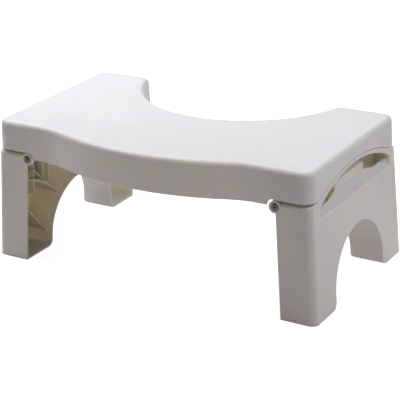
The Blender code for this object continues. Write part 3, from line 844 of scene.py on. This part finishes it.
def plastic(name, light, shade):
    """Moulded plastic: faint clouds, a fine grain, slow ripples in the gloss, and a painted warm
    glow in hollows that stands in for light passing through the thin walls.
    """
    paint = Shader(name)
    inputs = paint.shader.inputs
    # Painted light: this occlusion mask mixes the painted warm glow into hollows.
    hollow = paint.node("ShaderNodeAmbientOcclusion", Distance=HOLLOW_REACH)
    hollow.only_local, hollow.samples = True, HOLLOW_SAMPLES
    openness = paint.ramp(hollow.outputs["AO"], grey(0), grey(1), HOLLOW_RANGE)
    clouds = paint.ramp(paint.noise(*CLOUD_NOISE), shade, light)
    paint.link(paint.mix(openness, PAINTED_HOLLOW_GLOW, clouds), inputs["Base Color"])
    low, high = PLASTIC_ROUGH
    rough = paint.ramp(paint.noise(*GLOSS_NOISE), grey(low), grey(high))
    paint.link(rough, inputs["Roughness"])
    ripple = paint.bump(paint.noise(*RIPPLE_NOISE), *RIPPLE_BUMP)
    paint.link(paint.bump(paint.noise(*GRAIN_NOISE), *GRAIN_BUMP, ripple), inputs["Normal"])
    inputs["Subsurface Weight"].default_value = SUBSURFACE_SHARE
    inputs["Subsurface Radius"].default_value = SUBSURFACE_RADIUS
    inputs["Subsurface Scale"].default_value = SUBSURFACE_SCALE
    inputs["IOR"].default_value = PLASTIC_IOR
    return paint.material


def steel(name):
    """Dull plated steel with turned rings and a little grime."""
    paint = Shader(name)
    inputs = paint.shader.inputs
    grime = paint.noise(*GRIME_NOISE)
    paint.link(paint.ramp(grime, *STEEL_COLOURS), inputs["Base Color"])
    paint.link(paint.ramp(grime, *map(grey, STEEL_ROUGH)), inputs["Roughness"])
    inputs["Metallic"].default_value = 1
    rings = paint.node("ShaderNodeTexWave", wave_type="RINGS", rings_direction="Z")
    rings.inputs["Scale"].default_value = RING_SCALE
    rings.inputs["Distortion"].default_value = RING_DISTORTION
    paint.link(paint.node("ShaderNodeTexCoord").outputs["Object"], rings.inputs["Vector"])
    paint.link(paint.bump(rings.outputs["Fac"], *RING_BUMP), inputs["Normal"])
    return paint.material


def floor_material():
    """Pale floor: white to the camera where it is lit, with a shadow, and clear from below."""
    paint = Shader("floor")
    paint.shader.inputs["Base Color"].default_value = (*FLOOR_COLOUR, 1)
    paint.shader.inputs["Roughness"].default_value = FLOOR_ROUGH
    paint.shader.inputs["Specular IOR Level"].default_value = 0
    rays = paint.node("ShaderNodeLightPath")
    seen = paint.node("ShaderNodeMath", operation="MAXIMUM")
    paint.link(rays.outputs["Is Camera Ray"], seen.inputs[0])
    either = paint.node("ShaderNodeMath", operation="MAXIMUM")
    paint.link(rays.outputs["Is Glossy Ray"], either.inputs[0])
    paint.link(rays.outputs["Is Transmission Ray"], either.inputs[1])
    paint.link(either.outputs[0], seen.inputs[1])
    white = paint.node("ShaderNodeEmission", Color=(*FLOOR_GLOW_COLOUR, 1), Strength=FLOOR_GLOW)
    pale = paint.node("ShaderNodeAddShader")
    paint.link(paint.shader.outputs[0], pale.inputs[0])
    paint.link(white.outputs[0], pale.inputs[1])
    mix = paint.node("ShaderNodeMixShader")
    paint.link(seen.outputs[0], mix.inputs[0])
    paint.link(paint.shader.outputs[0], mix.inputs[1])
    paint.link(pale.outputs[0], mix.inputs[2])
    below = paint.node("ShaderNodeMath", operation="MULTIPLY")
    paint.link(paint.node("ShaderNodeNewGeometry").outputs["Backfacing"], below.inputs[0])
    paint.link(rays.outputs["Is Camera Ray"], below.inputs[1])
    clear = paint.node("ShaderNodeMixShader")
    paint.link(below.outputs[0], clear.inputs[0])
    paint.link(mix.outputs[0], clear.inputs[1])
    paint.link(paint.node("ShaderNodeBsdfTransparent").outputs[0], clear.inputs[2])
    paint.link(clear.outputs[0], paint.tree.nodes["Material Output"].inputs["Surface"])
    return paint.material


# Studio

YAW, PITCH, ROLL = 31.400, 22.068, -1.836
TARGET_Y, TARGET_Z = 0.0251, 0.090
SHIFT_RIGHT, SHIFT_UP, DISTANCE = -0.00879, -0.02768, 1.716
LENS_MM, SENSOR_MM = 123.98, 36
WORLD_STRENGTH = 0.19
WARM = (1.0, 0.84, 0.72)
COOL = (0.965, 0.97, 1.0)

# Lamps: name, place, aim, size and power
LAMPS = (
    ("back_lamp", (-0.14, 0.45, 0.86), (0, 0, 0.15), 0.8, 2.7),
    ("left_lamp", (-0.55, 0, 0.75), (-0.1, 0, 0), 0.5, 4.0),
    ("right_lamp", (0.55, 0, 0.75), (0.1, 0, 0), 0.5, 2.3),
)
FLOOR_HALF = 6.0


def make_camera():
    yaw, pitch, roll = (math.radians(angle) for angle in (YAW, PITCH, ROLL))
    right = Vector((math.cos(yaw), math.sin(yaw), 0))
    level_back = Vector((math.sin(yaw), -math.cos(yaw), 0))
    back = level_back * math.cos(pitch) + Vector((0, 0, math.sin(pitch)))
    up = back.cross(right)
    across = right * math.cos(roll) + up * math.sin(roll)
    upright = up * math.cos(roll) - right * math.sin(roll)
    eye = Vector((0, TARGET_Y + MIDDLE_Y, TARGET_Z))
    eye += across * SHIFT_RIGHT + upright * SHIFT_UP + back * DISTANCE
    data = bpy.data.cameras.new("camera")
    data.lens, data.sensor_width = LENS_MM, SENSOR_MM
    camera = bpy.data.objects.new("camera", data)
    turned = Matrix((across, upright, back)).transposed().to_4x4()
    camera.matrix_world = Matrix.Translation(eye) @ turned
    bpy.context.scene.collection.objects.link(camera)
    bpy.context.scene.camera = camera


def make_lamp(name, place, aim, size, power):
    """Square soft lamp that shines from a place towards another, hidden from the camera."""
    lamp = bpy.data.lights.new(name, "AREA")
    lamp.energy, lamp.size, lamp.color = power, size, COOL
    thing = bpy.data.objects.new(name, lamp)
    thing.location = place
    thing.rotation_mode = "QUATERNION"
    thing.rotation_quaternion = (Vector(place) - Vector(aim)).to_track_quat("Z", "Y")
    thing.visible_camera = False
    bpy.context.scene.collection.objects.link(thing)


def make_studio():
    size = FLOOR_HALF
    mesh = bmesh.new()
    corners = [(-size, -size), (size, -size), (size, size), (-size, size)]
    mesh.faces.new([mesh.verts.new((x, y, 0)) for x, y in corners])
    floor = new_object("floor", mesh)
    floor.data.materials.append(floor_material())
    floor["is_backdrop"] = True
    world = bpy.data.worlds.new("studio")
    world.use_nodes = True
    tree = world.node_tree
    ambient = tree.nodes["Background"]
    ambient.inputs["Color"].default_value = (*WARM, 1)
    ambient.inputs["Strength"].default_value = WORLD_STRENGTH
    white = tree.nodes.new("ShaderNodeBackground")
    white.inputs["Color"].default_value = (1, 1, 1, 1)
    rays = tree.nodes.new("ShaderNodeLightPath")
    mix = tree.nodes.new("ShaderNodeMixShader")
    tree.links.new(rays.outputs["Is Camera Ray"], mix.inputs[0])
    tree.links.new(ambient.outputs[0], mix.inputs[1])
    tree.links.new(white.outputs[0], mix.inputs[2])
    tree.links.new(mix.outputs[0], tree.nodes["World Output"].inputs["Surface"])
    bpy.context.scene.world = world
    for lamp in LAMPS:
        make_lamp(*lamp)


def place(thing, body, slot, material, *nodes):
    """Puts a piece drawn from the legs' middle into the stool's frame, on its body."""
    thing.data.materials.clear()
    thing.data.materials.append(material)
    if thing.location.length == 0:
        thing.data.transform(Matrix.Translation((0, MIDDLE_Y, 0)))
    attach(thing, body)
    if nodes:
        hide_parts(*nodes)


def main():
    clear_scene()
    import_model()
    cad_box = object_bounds()
    deck_plastic = plastic("deck_plastic", *DECK_COLOURS)
    leg_plastic = plastic("leg_plastic", *LEG_COLOURS)
    # Painted light: the ribs' and bosses' material carries the painted warm hollow glow as its
    # colour.
    rib_glow_plastic = plastic("rib_glow_plastic", *RIB_PAINTED_GLOW_COLOURS)
    screw_steel = steel("screw_steel")

    shell = new_object("deck_shell", deck_shell())
    place(shell, "deck", "deck_plastic", deck_plastic, "deck")
    smooth(shell, DECK_SMOOTH_ANGLE)
    ribs = join("deck_ribs", list(deck_ribs()))
    bevel(ribs, RIB_BEVEL, RIB_BEVEL_ANGLE)
    place(ribs, "deck", "deck_plastic", rib_glow_plastic)
    smooth(ribs, SMALL_SMOOTH_ANGLE)
    supports = join("deck_bosses", list(hinge_supports()))
    bevel(supports, RIB_BEVEL, RIB_BEVEL_ANGLE)
    place(supports, "deck", "deck_plastic", rib_glow_plastic)
    smooth(supports, SMALL_SMOOTH_ANGLE)

    leg, leg_ribs = right_leg()
    left_pair = (mirror_copy(leg, "left"), mirror_copy(leg_ribs, "left"))
    for end, (leg_shell, ribs) in (("right", (leg, leg_ribs)), ("left", left_pair)):
        leg_shell.name = f"{end}_leg_shell"
        ribs.name = f"{end}_leg_ribs"
        place(leg_shell, f"{end}_leg", "leg_plastic", leg_plastic, f"{end}_leg")
        place(ribs, f"{end}_leg", "leg_plastic", rib_glow_plastic)
        smooth(leg_shell, LEG_SMOOTH_ANGLE)
        smooth(ribs, LEG_SMOOTH_ANGLE)

    for end, side in ENDS:
        for face, where in FACES:
            corner = f"{where}_{end}"
            thing = screw(f"{corner}_hinge_screw", side, face)
            place(thing, "deck", "screw_steel", screw_steel, f"{corner}_screw")
            smooth(thing, SMALL_SMOOTH_ANGLE)

    make_camera()
    make_studio()
    bpy.context.scene.view_settings.view_transform = "Standard"
    boxes = {"cad": cad_box, "visual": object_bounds()}
    {key: [list(corner) for corner in value] for key, value in boxes.items()}


main()
